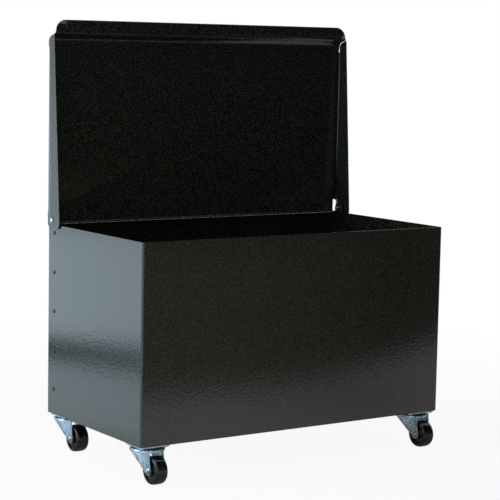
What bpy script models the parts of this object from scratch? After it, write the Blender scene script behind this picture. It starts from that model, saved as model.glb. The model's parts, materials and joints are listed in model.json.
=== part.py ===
"""Rolling storage bin of folded sheet steel, with a hinged cap lid and four swivel casters."""

from math import asin, atan2, cos, hypot, pi, radians, sin

import bmesh
import bpy
from mathutils import Matrix, Vector

# Body: three walls from one wrapped sheet, a back panel and a floor tray
BODY_WIDTH = 0.648
BODY_DEPTH = 0.340
BODY_HEIGHT = 0.350
SHEET = 0.0012
BEND_RADIUS = 0.003
GAP = 0.0003
BACK_FLANGE = 0.040
BACK_TOP_FLANGE = 0.012
EAR_RADIUS = 0.011
TRAY_LIP = 0.020
CORNER_RELIEF = 0.004

# Lid: a cap whose top slopes down to the front, with a splayed front and a hemmed finger lip
PIVOT_RISE = 0.008
PIVOT_INSET = 0.018
PIVOT_TO_PANEL = 0.017
LID_SIDE_CLEARANCE = 0.0026
LID_FRONT_CLEARANCE = 0.0010
LID_BROW = 0.008
LID_FRONT_DROP = 0.0215
LID_SPLAY = 0.006
LID_LIP = 0.024
LID_LIP_CORNER = 0.020
LID_HEM = 0.019
LID_HEM_GAP = 0.0008
LID_SEAM = 0.0036
LID_REAR_FLANGE = 0.011
LID_EAR_CLEARANCE = 0.002
LID_SLOT_LENGTH = 0.024
LID_TAIL = 0.016
LID_TAIL_CORNER = 0.012
LID_OPEN = radians(94.0)

# Lid pivots: a bolt through lid flange, spacer and ear, with a nut inside
BOLT_RADIUS = 0.0025
BOLT_HEAD_RADIUS = 0.0050
BOLT_HEAD = 0.0030
BOLT_END = 0.0012
SPACER_RADIUS = 0.0058
PIVOT_NUT_RADIUS = 0.0046
PIVOT_NUT = 0.0040

# Screws that hold the back panel's flanges to the side walls
SIDE_SCREW_COUNT = 5
SIDE_SCREW_TOP = 0.015
SIDE_SCREW_BOTTOM = 0.047
SIDE_SCREW_FROM_BACK = 0.022
SCREW_RADIUS = 0.0019
SCREW_HEAD_RADIUS = 0.0038
SCREW_HEAD = 0.0016
SCREW_END = 0.0050

# Casters
CASTER_INSET_X = 0.032
CASTER_INSET_Y = 0.030
CASTER_TRAIL = 0.026
PLATE_LENGTH = 0.060
PLATE_WIDTH = 0.054
PLATE_THICKNESS = 0.0025
PLATE_CORNER = 0.006
PLATE_SCREW_EDGE = 0.0065
PLATE_SCREW_RADIUS = 0.0026
PLATE_SCREW_HEAD_RADIUS = 0.0046
PLATE_SCREW_HEAD = 0.0026
PLATE_SCREW_END = 0.0050
RACE_RADIUS = 0.0185
RACE_DEPTH = 0.0028
FORK_SHEET = 0.0022
FORK_SKIRT = 0.0050
CROWN_EDGE = 0.0008
CROWN_OVER_WHEEL = 0.0058
LEG_TOP_WIDTH = 0.050
LEG_END_RADIUS = 0.0085
KINGPIN_RADIUS = 0.0040
KINGPIN_HEAD_RADIUS = 0.0072
KINGPIN_HEAD = 0.0026
WHEEL_RADIUS = 0.0250
WHEEL_WIDTH = 0.0230
HUB_RADIUS = 0.0090
HUB_OVERHANG = 0.0010
RIM_DEPTH = 0.0062
WEB_RECESS = 0.0042
TREAD_ROUND = 0.0020
AXLE_RADIUS = 0.0030
AXLE_HEAD_RADIUS = 0.0058
AXLE_HEAD = 0.0034
AXLE_NUT = 0.0042
AXLE_END = 0.0012

# Facets of the round pieces
WHEEL_SIDES = 28
ROUND_SIDES = 20
SMALL_SIDES = 10
HEX = 6
BEND_STEPS = 2
BROW_STEPS = 4
CORNER_STEPS = 5

# Places that follow from the sizes above
WALL_INNER = SHEET + GAP
WHEEL_HEIGHT = WHEEL_RADIUS * cos(pi / WHEEL_SIDES)
LEG_FACE = WHEEL_WIDTH / 2 + HUB_OVERHANG + GAP
CROWN_RADIUS = hypot(LEG_FACE + FORK_SHEET, LEG_TOP_WIDTH / 2) + CROWN_EDGE
CROWN_TOP = 2 * WHEEL_HEIGHT + CROWN_OVER_WHEEL + FORK_SKIRT
PLATE_UNDER = CROWN_TOP + GAP + RACE_DEPTH
CASTER_HEIGHT = PLATE_UNDER + PLATE_THICKNESS
PLATE_SCREW_X = PLATE_LENGTH / 2 - PLATE_SCREW_EDGE
PLATE_SCREW_Y = PLATE_WIDTH / 2 - PLATE_SCREW_EDGE
FLOOR_Z = CASTER_HEIGHT + GAP
RIM_Z = FLOOR_Z + BODY_HEIGHT
FRONT_REACH = CASTER_TRAIL + WHEEL_HEIGHT - CASTER_INSET_Y
BODY_Y = max(FRONT_REACH, 0) / 2
FRONT_Y = BODY_Y - BODY_DEPTH / 2
BACK_Y = BODY_Y + BODY_DEPTH / 2
PIVOT_Y = BACK_Y - PIVOT_INSET
PIVOT_Z = RIM_Z + PIVOT_RISE
EAR_OUTER_X = BODY_WIDTH / 2 - WALL_INNER
EAR_INNER_X = EAR_OUTER_X - SHEET
LID_INNER_X = BODY_WIDTH / 2 + LID_SIDE_CLEARANCE
LID_OUTER_X = LID_INNER_X + SHEET
LID_SLOT_WIDTH = LID_OUTER_X - EAR_INNER_X + LID_EAR_CLEARANCE
LID_NOSE = LID_BROW + BEND_RADIUS + LID_SEAM
FOLD_RELIEF = BEND_RADIUS + CORNER_RELIEF
SIDES = {"left": -1, "right": 1}
CORNERS = {
    "front_left": (-1, -1),
    "front_right": (1, -1),
    "rear_left": (-1, 1),
    "rear_right": (1, 1),
}
SAME = 1e-6

for old in list(bpy.data.objects):
    bpy.data.objects.remove(old, do_unlink=True)


def collection(name):
    made = bpy.data.collections.new(name)
    bpy.context.scene.collection.children.link(made)
    return made


def material(name, colour, roughness, metallic):
    made = bpy.data.materials.new(name)
    made.use_nodes = True
    shader = made.node_tree.nodes["Principled BSDF"]
    shader.inputs["Base Color"].default_value = (*colour, 1.0)
    shader.inputs["Roughness"].default_value = roughness
    shader.inputs["Metallic"].default_value = metallic
    return made


PARTS = collection("storage_bin")
CUTTERS = collection("cutters")
PAINT = material("black_hammer_paint", (0.020, 0.019, 0.015), 0.35, 0.0)
ZINC = material("zinc_plate", (0.62, 0.66, 0.70), 0.30, 1.0)
DARK_SCREW = material("painted_screw", (0.015, 0.015, 0.015), 0.40, 0.0)
WHEEL_PLASTIC = material("black_wheel", (0.012, 0.012, 0.013), 0.30, 0.0)


def add(name, bm, finish, matrix=Matrix(), smooth=False):
    """One object from a bmesh, in the parts collection."""
    mesh = bpy.data.meshes.new(name)
    bm.to_mesh(mesh)
    bm.free()
    mesh.materials.append(finish)
    made = bpy.data.objects.new(name, mesh)
    made.matrix_world = matrix
    PARTS.objects.link(made)
    if smooth:
        mesh.shade_smooth()
        mesh.set_sharp_from_angle(angle=radians(35))
    return made


def solidify(piece, thickness):
    """Give an open outer surface its sheet thickness on the inner side."""
    wall = piece.modifiers.new("sheet", "SOLIDIFY")
    wall.thickness = thickness
    wall.offset = -1.0
    wall.use_even_offset = True
    wall.use_quality_normals = True
    return piece


def boolean(piece, other, operation):
    made = piece.modifiers.new(operation.lower(), "BOOLEAN")
    made.operation = operation
    made.solver = "EXACT"
    made.object = other


def cutter(name, places, radius, length, axis, sides):
    """Rods along an axis, one at each place, as one hidden cutter."""
    bm = bmesh.new()
    turn = Vector((0, 0, 1)).rotation_difference(axis).to_matrix().to_4x4()
    for place in places:
        bmesh.ops.create_cone(
            bm,
            cap_ends=True,
            segments=sides,
            radius1=radius,
            radius2=radius,
            depth=length,
            matrix=Matrix.Translation(place) @ turn,
        )
    made = add(name, bm, DARK_SCREW)
    return hide_as_cutter(made)


def hide_as_cutter(piece):
    PARTS.objects.unlink(piece)
    CUTTERS.objects.link(piece)
    piece.hide_render = True
    piece.display_type = "WIRE"
    return piece


def along(axis, place):
    """Matrix that stands a turned piece's own +Z along an axis at a place."""
    turn = Vector((0, 0, 1)).rotation_difference(Vector(axis)).to_matrix().to_4x4()
    return Matrix.Translation(place) @ turn


def turned(name, profile, steps, finish, matrix, start=0.0):
    """A profile of (radius, height) points, spun about its own Z with a Screw modifier."""
    bm = bmesh.new()
    closed = min(radius for radius, _ in profile) > SAME
    points = [
        bm.verts.new((radius * cos(start), radius * sin(start), height)) for radius, height in profile
    ]
    for one, two in zip(points, points[1:]):
        bm.edges.new((one, two))
    if closed:
        bm.edges.new((points[-1], points[0]))
    made = add(name, bm, finish, matrix)
    spin = made.modifiers.new("spin", "SCREW")
    spin.angle = 2 * pi
    spin.steps = steps
    spin.render_steps = steps
    spin.use_merge_vertices = True
    spin.merge_threshold = SAME
    spin.use_smooth_shade = True
    return made


def cut_through(bm, place, normal):
    """Add a line of edges where a plane crosses the sheet."""
    everything = bm.verts[:] + bm.edges[:] + bm.faces[:]
    bmesh.ops.bisect_plane(bm, geom=everything, dist=SAME, plane_co=place, plane_no=normal)


def edges_where(bm, test):
    """Edges whose two ends both pass the test."""
    return [edge for edge in bm.edges if all(test(vert.co) for vert in edge.verts)]


def delete_faces(bm, test):
    doomed = [face for face in bm.faces if test(face.calc_center_median())]
    bmesh.ops.delete(bm, geom=doomed, context="FACES")


def pull(bm, edges, shift):
    """Fold out a flange: extrude edges and move the new ones. Gives back the new edges."""
    made = bmesh.ops.extrude_edge_only(bm, edges=edges)["geom"]
    verts = [item for item in made if isinstance(item, bmesh.types.BMVert)]
    for vert in verts:
        vert.co += shift(vert.co) if callable(shift) else Vector(shift)
    fresh = set(verts)
    return [edge for edge in bm.edges if all(vert in fresh for vert in edge.verts)]


def bend(bm, edges, radius, steps=BEND_STEPS):
    """Round folds of the sheet."""
    bmesh.ops.bevel(
        bm,
        geom=edges,
        offset=radius,
        offset_type="OFFSET",
        segments=steps,
        profile=0.5,
        affect="EDGES",
        clamp_overlap=False,
    )


def round_corners(bm, verts, radius):
    """Round the free corners of a flange."""
    bmesh.ops.bevel(
        bm,
        geom=verts,
        offset=radius,
        offset_type="OFFSET",
        segments=CORNER_STEPS,
        profile=0.5,
        affect="VERTICES",
        clamp_overlap=False,
    )


def join_faces(bm, test):
    """Take out lines that cross a flat strip, with the points they leave on its free edge."""
    lines = edges_where(bm, test)
    verts = {vert for edge in lines for vert in edge.verts}
    bmesh.ops.dissolve_edges(bm, edges=lines, use_verts=False)
    loose = [vert for vert in verts if len(vert.link_edges) == 2]
    bmesh.ops.dissolve_verts(bm, verts=loose)


def near(value, target):
    return abs(value - target) < SAME


def face_out(bm, direction):
    """Turn the sheet's faces so that the first one looks along a direction."""
    bmesh.ops.recalc_face_normals(bm, faces=bm.faces[:])
    bm.faces.ensure_lookup_table()
    largest = max(bm.faces, key=lambda face: face.calc_area())
    largest.normal_update()
    if largest.normal.dot(Vector(direction)) < 0:
        bmesh.ops.reverse_faces(bm, faces=bm.faces[:])


def side_screw_places(x):
    """Screw axes on one side wall, from the rim down."""
    y = BACK_Y - SIDE_SCREW_FROM_BACK
    top = RIM_Z - SIDE_SCREW_TOP
    pitch = (BODY_HEIGHT - SIDE_SCREW_TOP - SIDE_SCREW_BOTTOM) / (SIDE_SCREW_COUNT - 1)
    return [Vector((x, y, top - i * pitch)) for i in range(SIDE_SCREW_COUNT)]


def caster_place(corner):
    side, end = CORNERS[corner]
    x = side * (BODY_WIDTH / 2 - CASTER_INSET_X)
    y = FRONT_Y + CASTER_INSET_Y if end < 0 else BACK_Y - CASTER_INSET_Y
    return Vector((x, y, 0))


def plate_screw_places(corner):
    middle = caster_place(corner)
    signs = [(-1, -1), (1, -1), (1, 1), (-1, 1)]
    return [middle + Vector((sx * PLATE_SCREW_X, sy * PLATE_SCREW_Y, FLOOR_Z)) for sx, sy in signs]


def body_wrap():
    """Left wall, front and right wall, folded from one sheet."""
    bm = bmesh.new()
    bmesh.ops.create_cube(bm, size=1.0)
    size = Matrix.Diagonal((BODY_WIDTH, BODY_DEPTH, BODY_HEIGHT, 1.0))
    bmesh.ops.transform(bm, matrix=size, verts=bm.verts[:])
    delete_faces(bm, lambda c: abs(c.z) > BODY_HEIGHT / 2 - SAME or c.y > BODY_DEPTH / 2 - SAME)
    corners = edges_where(bm, lambda c: near(c.y, -BODY_DEPTH / 2))
    bend(bm, [edge for edge in corners if near(edge.verts[0].co.x, edge.verts[1].co.x)], BEND_RADIUS)
    place = Matrix.Translation((0, BODY_Y, FLOOR_Z + BODY_HEIGHT / 2))
    piece = solidify(add("body_wrap", bm, PAINT, place), SHEET)
    boolean(piece, SIDE_HOLES, "DIFFERENCE")


def back_panel():
    """Back wall with flanges folded forwards inside the side walls, and the ears of the lid pivots."""
    half = EAR_OUTER_X
    flange_bottom = FLOOR_Z + TRAY_LIP + 2 * GAP
    ear_back = PIVOT_Y + EAR_RADIUS
    ear_front = PIVOT_Y - EAR_RADIUS
    flange_front = BACK_Y - BACK_FLANGE
    bm = bmesh.new()
    bmesh.ops.create_grid(bm, x_segments=1, y_segments=1, size=1.0)
    stand = Matrix.Translation((0, BACK_Y, FLOOR_Z + BODY_HEIGHT / 2)) @ Matrix.Rotation(pi / 2, 4, "X")
    size = Matrix.Diagonal((half, BODY_HEIGHT / 2, 1.0, 1.0))
    bmesh.ops.transform(bm, matrix=stand @ size, verts=bm.verts[:])
    cut_through(bm, (0, 0, flange_bottom), (0, 0, 1))
    for side in SIDES.values():
        cut_through(bm, (side * (half - FOLD_RELIEF), 0, 0), (1, 0, 0))
    for side in SIDES.values():
        rise = edges_where(bm, lambda c: near(c.x, side * half) and c.z > flange_bottom - SAME)
        rise = pull(bm, rise, (0, ear_back - BACK_Y, 0))
        rise = pull(bm, rise, (0, ear_front - ear_back, 0))
        pull(bm, rise, (0, flange_front - ear_front, 0))
        top = edges_where(
            bm,
            lambda c: near(c.x, side * half)
            and near(c.z, RIM_Z)
            and ear_front - SAME < c.y < ear_back + SAME,
        )
        ear = pull(bm, top, (0, 0, PIVOT_RISE + EAR_RADIUS))
        round_corners(bm, [vert for edge in ear for vert in edge.verts], EAR_RADIUS - SAME)
    shelf = edges_where(
        bm,
        lambda c: near(c.z, RIM_Z) and near(c.y, BACK_Y) and abs(c.x) < half - FOLD_RELIEF + SAME,
    )
    pull(bm, shelf, (0, -BACK_TOP_FLANGE, 0))
    folds = edges_where(
        bm, lambda c: near(c.y, BACK_Y) and near(abs(c.x), half) and c.z > flange_bottom - SAME
    )
    bend(bm, folds + shelf, BEND_RADIUS)
    face_out(bm, (0, 1, 0))
    piece = solidify(add("back_panel", bm, PAINT), SHEET)
    boolean(piece, SIDE_HOLES, "DIFFERENCE")
    boolean(piece, PIVOT_HOLES, "DIFFERENCE")


def floor_tray():
    """Floor with lips folded up inside the walls and relieved corners."""
    half_x = BODY_WIDTH / 2 - WALL_INNER
    front = FRONT_Y + WALL_INNER
    back = BACK_Y - WALL_INNER
    half_y = (back - front) / 2
    bm = bmesh.new()
    bmesh.ops.create_grid(bm, x_segments=1, y_segments=1, size=1.0)
    size = Matrix.Diagonal((half_x, half_y, 1.0, 1.0))
    bmesh.ops.transform(bm, matrix=size, verts=bm.verts[:])
    for side in SIDES.values():
        cut_through(bm, (side * (half_x - FOLD_RELIEF), 0, 0), (1, 0, 0))
        cut_through(bm, (0, side * (half_y - FOLD_RELIEF), 0), (0, 1, 0))
    delete_faces(bm, lambda c: abs(c.x) > half_x - FOLD_RELIEF and abs(c.y) > half_y - FOLD_RELIEF)
    outer = edges_where(bm, lambda c: near(abs(c.x), half_x))
    outer += edges_where(bm, lambda c: near(abs(c.y), half_y))
    outer = [edge for edge in outer if edge.is_boundary and edge.calc_length() > FOLD_RELIEF + SAME]
    pull(bm, outer, (0, 0, TRAY_LIP))
    bend(bm, outer, BEND_RADIUS)
    face_out(bm, (0, 0, -1))
    place = Matrix.Translation((0, (front + back) / 2, FLOOR_Z))
    piece = solidify(add("floor_tray", bm, PAINT, place), SHEET)
    boolean(piece, PLATE_HOLES, "DIFFERENCE")


def lid():
    """Folded cap lid, shaped as when closed about its pivot axis and then turned up open."""
    wall_y = FRONT_Y - PIVOT_Y
    rest_z = GAP + SHEET - PIVOT_RISE
    front_y = wall_y - LID_FRONT_CLEARANCE - LID_BROW
    seam_y = front_y + LID_SEAM
    nose_y = seam_y + LID_NOSE
    slope = (PIVOT_TO_PANEL - rest_z) / -wall_y
    rear_z = PIVOT_TO_PANEL + slope * PIVOT_RISE
    rear_y = (PIVOT_RISE - GAP + rear_z * cos(LID_OPEN)) / sin(LID_OPEN)
    slot_y = rear_y - LID_SLOT_LENGTH

    def panel_z(y):
        return PIVOT_TO_PANEL + slope * y

    edge_z = panel_z(front_y) - LID_FRONT_DROP
    bm = bmesh.new()
    bmesh.ops.create_grid(bm, x_segments=1, y_segments=1, size=1.0)
    size = Matrix.Diagonal((LID_OUTER_X, (rear_y - front_y) / 2, 1.0, 1.0))
    place = Matrix.Translation((0, (rear_y + front_y) / 2, 0))
    bmesh.ops.transform(bm, matrix=place @ size, verts=bm.verts[:])
    cut_through(bm, (0, slot_y, 0), (0, 1, 0))
    cut_through(bm, (0, nose_y, 0), (0, 1, 0))
    for side in SIDES.values():
        cut_through(bm, (side * (LID_OUTER_X - LID_SLOT_WIDTH), 0, 0), (1, 0, 0))
        cut_through(bm, (side * (LID_OUTER_X - LID_SEAM), 0, 0), (1, 0, 0))
    delete_faces(bm, lambda c: abs(c.x) > LID_OUTER_X - LID_SLOT_WIDTH and c.y > slot_y)
    delete_faces(bm, lambda c: abs(c.x) > LID_OUTER_X - LID_SEAM and c.y < nose_y)
    for vert in bm.verts:
        vert.co.z = panel_z(vert.co.y)

    folds = []
    for side in SIDES.values():
        crease = edges_where(bm, lambda c: near(c.x, side * LID_OUTER_X))
        folds += crease
        pull(bm, crease, lambda c: Vector((0, 0, edge_z - c.z)))
        front = edges_where(bm, lambda c: near(c.x, side * LID_OUTER_X) and near(c.y, nose_y))
        low, high = sorted(pull(bm, front, (0, -LID_NOSE, 0))[0].verts, key=lambda v: v.co.z)
        low.co.y -= LID_SPLAY
        high.co.z = panel_z(seam_y)
        round_corners(bm, [high], LID_BROW)
        rear = edges_where(bm, lambda c: near(c.x, side * LID_OUTER_X) and near(c.y, slot_y))
        tail = pull(bm, rear, (0, LID_TAIL - slot_y, 0))
        round_corners(bm, [vert for edge in tail for vert in edge.verts], LID_TAIL_CORNER)
    sill = edges_where(bm, lambda c: near(c.y, rear_y) and abs(c.x) < LID_OUTER_X - SAME)
    pull(bm, sill, (0, 0, -LID_REAR_FLANGE))
    folds += sill
    brow = edges_where(bm, lambda c: near(c.y, front_y) and c.z > edge_z + SAME)
    chin = pull(bm, brow, lambda c: Vector((0, -LID_SPLAY, edge_z - c.z)))
    tip = pull(bm, chin, (0, -LID_LIP, 0))
    tip_y = front_y - LID_SPLAY - LID_LIP
    tip_x = max(abs(vert.co.x) for edge in tip for vert in edge.verts)
    join_faces(
        bm, lambda c: near(abs(c.x), LID_OUTER_X - LID_SLOT_WIDTH) and c.y < front_y - LID_SPLAY + SAME
    )
    ends = [vert for vert in bm.verts if near(vert.co.y, tip_y) and near(abs(vert.co.x), tip_x)]
    round_corners(bm, ends, LID_LIP_CORNER)
    straight = edges_where(bm, lambda c: near(c.y, tip_y))
    under = pull(bm, straight, (0, 0, -2 * SHEET - LID_HEM_GAP))
    pull(bm, under, (0, LID_HEM, 0))
    bend(bm, straight + under, SHEET + LID_HEM_GAP / 3)
    chin = edges_where(bm, lambda c: near(c.y, front_y - LID_SPLAY) and near(c.z, edge_z))
    brow = edges_where(bm, lambda c: near(c.y, front_y) and near(c.z, panel_z(front_y)))
    folds = [edge for edge in folds if edge.is_valid]
    bend(bm, folds + chin, BEND_RADIUS)
    brow = [edge for edge in brow if edge.is_valid]
    bend(bm, brow, LID_BROW, BROW_STEPS)
    face_out(bm, (0, 0, 1))
    pivot = Matrix.Translation((0, PIVOT_Y, PIVOT_Z)) @ Matrix.Rotation(-LID_OPEN, 4, "X")
    piece = solidify(add("lid", bm, PAINT, pivot), SHEET)
    boolean(piece, PIVOT_HOLES, "DIFFERENCE")


def hex_nut(name, radius, height, bore, matrix):
    """Six-sided nut standing on its own origin, along its own Z."""
    bm = bmesh.new()
    bmesh.ops.create_cone(
        bm,
        cap_ends=True,
        segments=HEX,
        radius1=radius,
        radius2=radius,
        depth=height,
        matrix=Matrix.Translation((0, 0, height / 2)),
    )
    piece = add(name, bm, ZINC, matrix)
    axis = matrix.to_3x3() @ Vector((0, 0, 1))
    hole = cutter(name + "_bore", [matrix @ Vector((0, 0, height / 2))], bore, 3 * height, axis, SMALL_SIDES)
    boolean(piece, hole, "DIFFERENCE")


def lid_pivot(side_name):
    """Bolt, spacer and nut on one end of the lid's axis."""
    side = SIDES[side_name]
    out = Vector((side, 0, 0))
    axis_point = Vector((0, PIVOT_Y, PIVOT_Z))
    head = LID_OUTER_X + GAP
    nut_face = EAR_INNER_X - GAP
    inner_end = nut_face - PIVOT_NUT - BOLT_END
    dome = BOLT_HEAD * 0.45
    bolt = [
        (0, BOLT_HEAD),
        (BOLT_HEAD_RADIUS * 0.6, BOLT_HEAD - dome * 0.3),
        (BOLT_HEAD_RADIUS, BOLT_HEAD - dome),
        (BOLT_HEAD_RADIUS, 0),
        (BOLT_RADIUS, 0),
        (BOLT_RADIUS, inner_end - head),
        (0, inner_end - head),
    ]
    turned(f"pivot_bolt_{side_name}", bolt, ROUND_SIDES, ZINC, along(out, axis_point + out * head))
    space = LID_INNER_X - EAR_OUTER_X - 2 * GAP
    ring = [
        (SPACER_RADIUS, space),
        (SPACER_RADIUS, 0),
        (BOLT_RADIUS + GAP, 0),
        (BOLT_RADIUS + GAP, space),
    ]
    turned(
        f"pivot_spacer_{side_name}",
        ring,
        ROUND_SIDES,
        ZINC,
        along(out, axis_point + out * (EAR_OUTER_X + GAP)),
    )
    hex_nut(
        f"pivot_nut_{side_name}",
        PIVOT_NUT_RADIUS,
        PIVOT_NUT,
        BOLT_RADIUS + GAP,
        along(-out, axis_point + out * nut_face),
    )


def side_screws(side_name):
    """Pan-head screws through one side wall and the back panel's flange."""
    out = Vector((SIDES[side_name], 0, 0))
    head = BODY_WIDTH / 2 + GAP
    profile = [
        (0, SCREW_HEAD),
        (SCREW_HEAD_RADIUS * 0.7, SCREW_HEAD * 0.85),
        (SCREW_HEAD_RADIUS, SCREW_HEAD * 0.3),
        (SCREW_HEAD_RADIUS, 0),
        (SCREW_RADIUS, 0),
        (SCREW_RADIUS, -SCREW_END),
        (0, -SCREW_END),
    ]
    for i, place in enumerate(side_screw_places(0), 1):
        matrix = along(out, place + out * head)
        turned(f"side_screw_{side_name}_{i}", profile, SMALL_SIDES, DARK_SCREW, matrix)


def caster_plate(corner):
    """Top plate with its pressed swivel race, under the floor."""
    middle = caster_place(corner)
    bm = bmesh.new()
    bmesh.ops.create_cube(bm, size=1.0)
    size = Matrix.Diagonal((PLATE_LENGTH, PLATE_WIDTH, PLATE_THICKNESS, 1.0))
    bmesh.ops.transform(bm, matrix=size, verts=bm.verts[:])
    upright = [edge for edge in bm.edges if near(edge.verts[0].co.x, edge.verts[1].co.x)]
    upright = [edge for edge in upright if near(edge.verts[0].co.y, edge.verts[1].co.y)]
    bend(bm, upright, PLATE_CORNER)
    place = Matrix.Translation(middle + Vector((0, 0, PLATE_UNDER + PLATE_THICKNESS / 2)))
    piece = add(f"caster_plate_{corner}", bm, ZINC, place)
    race = [
        (0, PLATE_THICKNESS / 2),
        (RACE_RADIUS, PLATE_THICKNESS / 2),
        (RACE_RADIUS, -RACE_DEPTH * 0.5),
        (RACE_RADIUS - RACE_DEPTH * 0.5, -RACE_DEPTH),
        (0, -RACE_DEPTH),
    ]
    matrix = Matrix.Translation(middle + Vector((0, 0, PLATE_UNDER)))
    pressed = hide_as_cutter(turned(f"race_{corner}", race, ROUND_SIDES, ZINC, matrix))
    boolean(piece, pressed, "UNION")
    boolean(piece, PLATE_HOLES, "DIFFERENCE")
    boolean(piece, KINGPIN_HOLES, "DIFFERENCE")


def kingpin(corner):
    """Rivet that carries the fork under its plate."""
    shank = KINGPIN_RADIUS - GAP
    under = CROWN_TOP - FORK_SHEET - GAP
    top = CASTER_HEIGHT - GAP
    profile = [
        (0, top),
        (shank, top),
        (shank, under),
        (KINGPIN_HEAD_RADIUS, under),
        (KINGPIN_HEAD_RADIUS, under - KINGPIN_HEAD * 0.4),
        (KINGPIN_HEAD_RADIUS * 0.6, under - KINGPIN_HEAD),
        (0, under - KINGPIN_HEAD),
    ]
    turned(f"caster_kingpin_{corner}", profile, SMALL_SIDES, ZINC, Matrix.Translation(caster_place(corner)))


def leg_outline():
    """Side view of a fork leg: broad under the crown, narrowing to a round end at the axle."""
    half = LEG_TOP_WIDTH / 2
    top = CROWN_TOP - FORK_SHEET / 2
    axle = Vector((-CASTER_TRAIL, WHEEL_HEIGHT))
    points = []
    lean = []
    for corner in (Vector((-half, top - FORK_SKIRT)), Vector((half, top - FORK_SKIRT))):
        run = corner - axle
        lean.append(atan2(run.y, run.x))
        points.append((corner, hypot(run.x, run.y)))
    left = lean[0] + pi / 2 - asin(LEG_END_RADIUS / points[0][1])
    right = lean[1] - pi / 2 + asin(LEG_END_RADIUS / points[1][1])
    sweep = (right + 2 * pi - left) % (2 * pi)
    outline = [Vector((half, top)), Vector((-half, top)), points[0][0]]
    for i in range(2 * CORNER_STEPS + 1):
        angle = left + sweep * i / (2 * CORNER_STEPS)
        outline.append(axle + LEG_END_RADIUS * Vector((cos(angle), sin(angle))))
    outline.append(points[1][0])
    return outline


def fork_leg(name, side):
    """One leg plate as a filled outline made into a mesh."""
    curve = bpy.data.curves.new(name, "CURVE")
    curve.dimensions = "2D"
    curve.fill_mode = "BOTH"
    curve.extrude = FORK_SHEET / 2
    outline = leg_outline()
    spline = curve.splines.new("POLY")
    spline.points.add(len(outline) - 1)
    spline.use_cyclic_u = True
    for point, place in zip(spline.points, outline):
        point.co = (place.x, place.y, 0, 1)
    drawn = bpy.data.objects.new(name, curve)
    PARTS.objects.link(drawn)
    upright = Matrix(((0, 0, 1, 0), (1, 0, 0, 0), (0, 1, 0, 0), (0, 0, 0, 1)))
    shift = side * (LEG_FACE + FORK_SHEET / 2)
    bpy.context.view_layer.update()
    mesh = bpy.data.meshes.new_from_object(drawn.evaluated_get(bpy.context.evaluated_depsgraph_get()))
    bpy.data.objects.remove(drawn)
    bm = bmesh.new()
    bm.from_mesh(mesh)
    bpy.data.meshes.remove(mesh)
    bmesh.ops.remove_doubles(bm, verts=bm.verts[:], dist=SAME)
    bmesh.ops.transform(bm, matrix=Matrix.Translation((shift, 0, 0)) @ upright, verts=bm.verts[:])
    return bm


def fork(corner, turn):
    """Crown and two legs in one pressed piece, on the kingpin's axis."""
    top = CROWN_TOP
    under = top - FORK_SHEET
    skirt = top - FORK_SKIRT
    inner = CROWN_RADIUS - FORK_SHEET
    profile = [
        (KINGPIN_RADIUS, top),
        (CROWN_RADIUS - FORK_SHEET * 0.4, top),
        (CROWN_RADIUS, top - FORK_SHEET * 0.4),
        (CROWN_RADIUS, skirt),
        (inner, skirt),
        (inner, under),
        (KINGPIN_RADIUS, under),
    ]
    piece = turned(f"caster_fork_{corner}", profile, ROUND_SIDES, ZINC, turn)
    for side_name, side in SIDES.items():
        name = f"fork_leg_{corner}_{side_name}"
        leg = hide_as_cutter(add(name, fork_leg(name, side), ZINC, turn))
        boolean(piece, leg, "UNION")
    boolean(piece, AXLE_HOLES[corner], "DIFFERENCE")


def wheel(corner, hub):
    """Moulded wheel with a recessed web, turned about its axle."""
    half = WHEEL_WIDTH / 2
    hub_half = half + HUB_OVERHANG
    rim_inner = WHEEL_RADIUS - RIM_DEPTH
    web = half - WEB_RECESS
    bore = AXLE_RADIUS + GAP
    side = [
        (bore, hub_half),
        (HUB_RADIUS, hub_half),
        (HUB_RADIUS + (hub_half - web) / 4, web),
        (rim_inner - (half - web) / 4, web),
        (rim_inner, half),
        (WHEEL_RADIUS - TREAD_ROUND, half),
        (WHEEL_RADIUS, half - TREAD_ROUND),
    ]
    profile = side + [(radius, -height) for radius, height in reversed(side)]
    matrix = hub @ Matrix.Rotation(pi / 2, 4, "Y")
    turned(f"caster_wheel_{corner}", profile, WHEEL_SIDES, WHEEL_PLASTIC, matrix, start=pi / WHEEL_SIDES)


def axle(corner, hub):
    """Axle bolt through both legs and the wheel, with its nut."""
    face = LEG_FACE + FORK_SHEET + GAP
    end = -face - AXLE_NUT - AXLE_END
    profile = [
        (0, face + AXLE_HEAD),
        (AXLE_HEAD_RADIUS * 0.75, face + AXLE_HEAD),
        (AXLE_HEAD_RADIUS, face + AXLE_HEAD * 0.6),
        (AXLE_HEAD_RADIUS, face),
        (AXLE_RADIUS, face),
        (AXLE_RADIUS, end),
        (0, end),
    ]
    outward = hub @ Matrix.Rotation(-pi / 2, 4, "Y")
    turned(f"caster_axle_{corner}", profile, SMALL_SIDES, ZINC, outward)
    seat = outward @ Matrix.Translation((0, 0, -face)) @ Matrix.Rotation(pi, 4, "X")
    hex_nut(f"caster_axle_nut_{corner}", AXLE_HEAD_RADIUS, AXLE_NUT, AXLE_RADIUS + GAP, seat)


def plate_screws(corner):
    """Round-headed screws from below, through the caster plate into the floor."""
    under = PLATE_UNDER - GAP
    top = FLOOR_Z + SHEET + PLATE_SCREW_END - under
    profile = [
        (0, top),
        (PLATE_SCREW_RADIUS, top),
        (PLATE_SCREW_RADIUS, 0),
        (PLATE_SCREW_HEAD_RADIUS, 0),
        (PLATE_SCREW_HEAD_RADIUS, -PLATE_SCREW_HEAD * 0.4),
        (PLATE_SCREW_HEAD_RADIUS * 0.7, -PLATE_SCREW_HEAD),
        (0, -PLATE_SCREW_HEAD),
    ]
    for i, place in enumerate(plate_screw_places(corner), 1):
        matrix = Matrix.Translation((place.x, place.y, under))
        turned(f"caster_screw_{corner}_{i}", profile, SMALL_SIDES, ZINC, matrix)


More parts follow.
